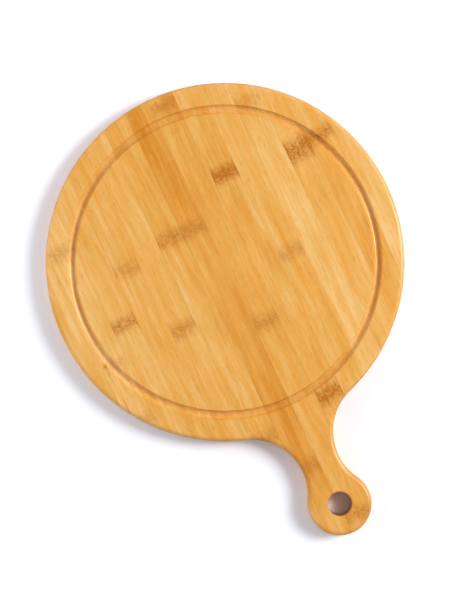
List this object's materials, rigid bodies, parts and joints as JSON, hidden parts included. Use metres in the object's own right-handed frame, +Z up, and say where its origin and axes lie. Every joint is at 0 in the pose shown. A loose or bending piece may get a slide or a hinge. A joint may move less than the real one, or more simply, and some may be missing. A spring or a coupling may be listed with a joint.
{
  "type": "pizza serving board",
  "caption": "Round serving board of laminated bamboo with a juice groove near the rim and a short waisted handle ending in a round knob with a hanging hole.",
  "frame": {"origin": "centre of the round disc on the underside, which is the face the board rests on", "axes": "+Z up out of the serving face, handle along -Y, +X to the right when looking down with the handle towards the viewer"},
  "size_m": [0.3, 0.4, 0.015],
  "materials": {
    "bamboo_honey": "satin, lightly oiled, planed flat-grain bamboo",
    "bamboo_pale": "satin, lightly oiled, planed flat-grain bamboo",
    "bamboo_amber": "satin, lightly oiled, planed flat-grain bamboo",
    "bamboo_core": "satin, lightly oiled, sanded edge of the cross-laid core",
    "bamboo_back": "satin, lightly oiled, planed flat-grain bamboo"
  },
  "bodies": {
    "root": {"top_strip_01": "bamboo_pale", "top_strip_02": "bamboo_pale", "top_strip_03": "bamboo_honey", "top_strip_04": "bamboo_honey", "top_strip_05": "bamboo_honey", "top_strip_06": "bamboo_honey", "top_strip_07": "bamboo_amber", "top_strip_08": "bamboo_honey", "top_strip_09": "bamboo_honey", "top_strip_10": "bamboo_honey", "top_strip_11": "bamboo_pale", "top_strip_12": "bamboo_honey", "top_strip_13": "bamboo_honey", "top_strip_14": "bamboo_pale", "top_ear_left": "bamboo_honey", "top_ear_right": "bamboo_honey", "core_slat_01": "bamboo_core", "core_slat_02": "bamboo_core", "core_slat_03": "bamboo_core", "core_slat_04": "bamboo_core", "core_slat_05": "bamboo_core", "core_slat_06": "bamboo_core", "core_slat_07": "bamboo_core", "core_slat_08": "bamboo_core", "core_slat_09": "bamboo_core", "core_slat_10": "bamboo_core", "core_slat_11": "bamboo_core", "core_slat_12": "bamboo_core", "core_slat_13": "bamboo_core", "core_slat_14": "bamboo_core", "core_slat_15": "bamboo_core", "core_slat_16": "bamboo_core", "core_slat_17": "bamboo_core", "core_slat_18": "bamboo_core", "core_slat_19": "bamboo_core", "bottom_strip_01": "bamboo_back", "bottom_strip_02": "bamboo_back", "bottom_strip_03": "bamboo_back", "bottom_strip_04": "bamboo_back", "bottom_strip_05": "bamboo_back", "bottom_strip_06": "bamboo_back", "bottom_strip_07": "bamboo_back", "bottom_strip_08": "bamboo_back", "bottom_strip_09": "bamboo_back", "bottom_strip_10": "bamboo_back", "bottom_strip_11": "bamboo_back", "bottom_strip_12": "bamboo_back", "bottom_strip_13": "bamboo_back", "bottom_strip_14": "bamboo_back", "bottom_strip_15": "bamboo_back"}
  },
  "joints": []
}
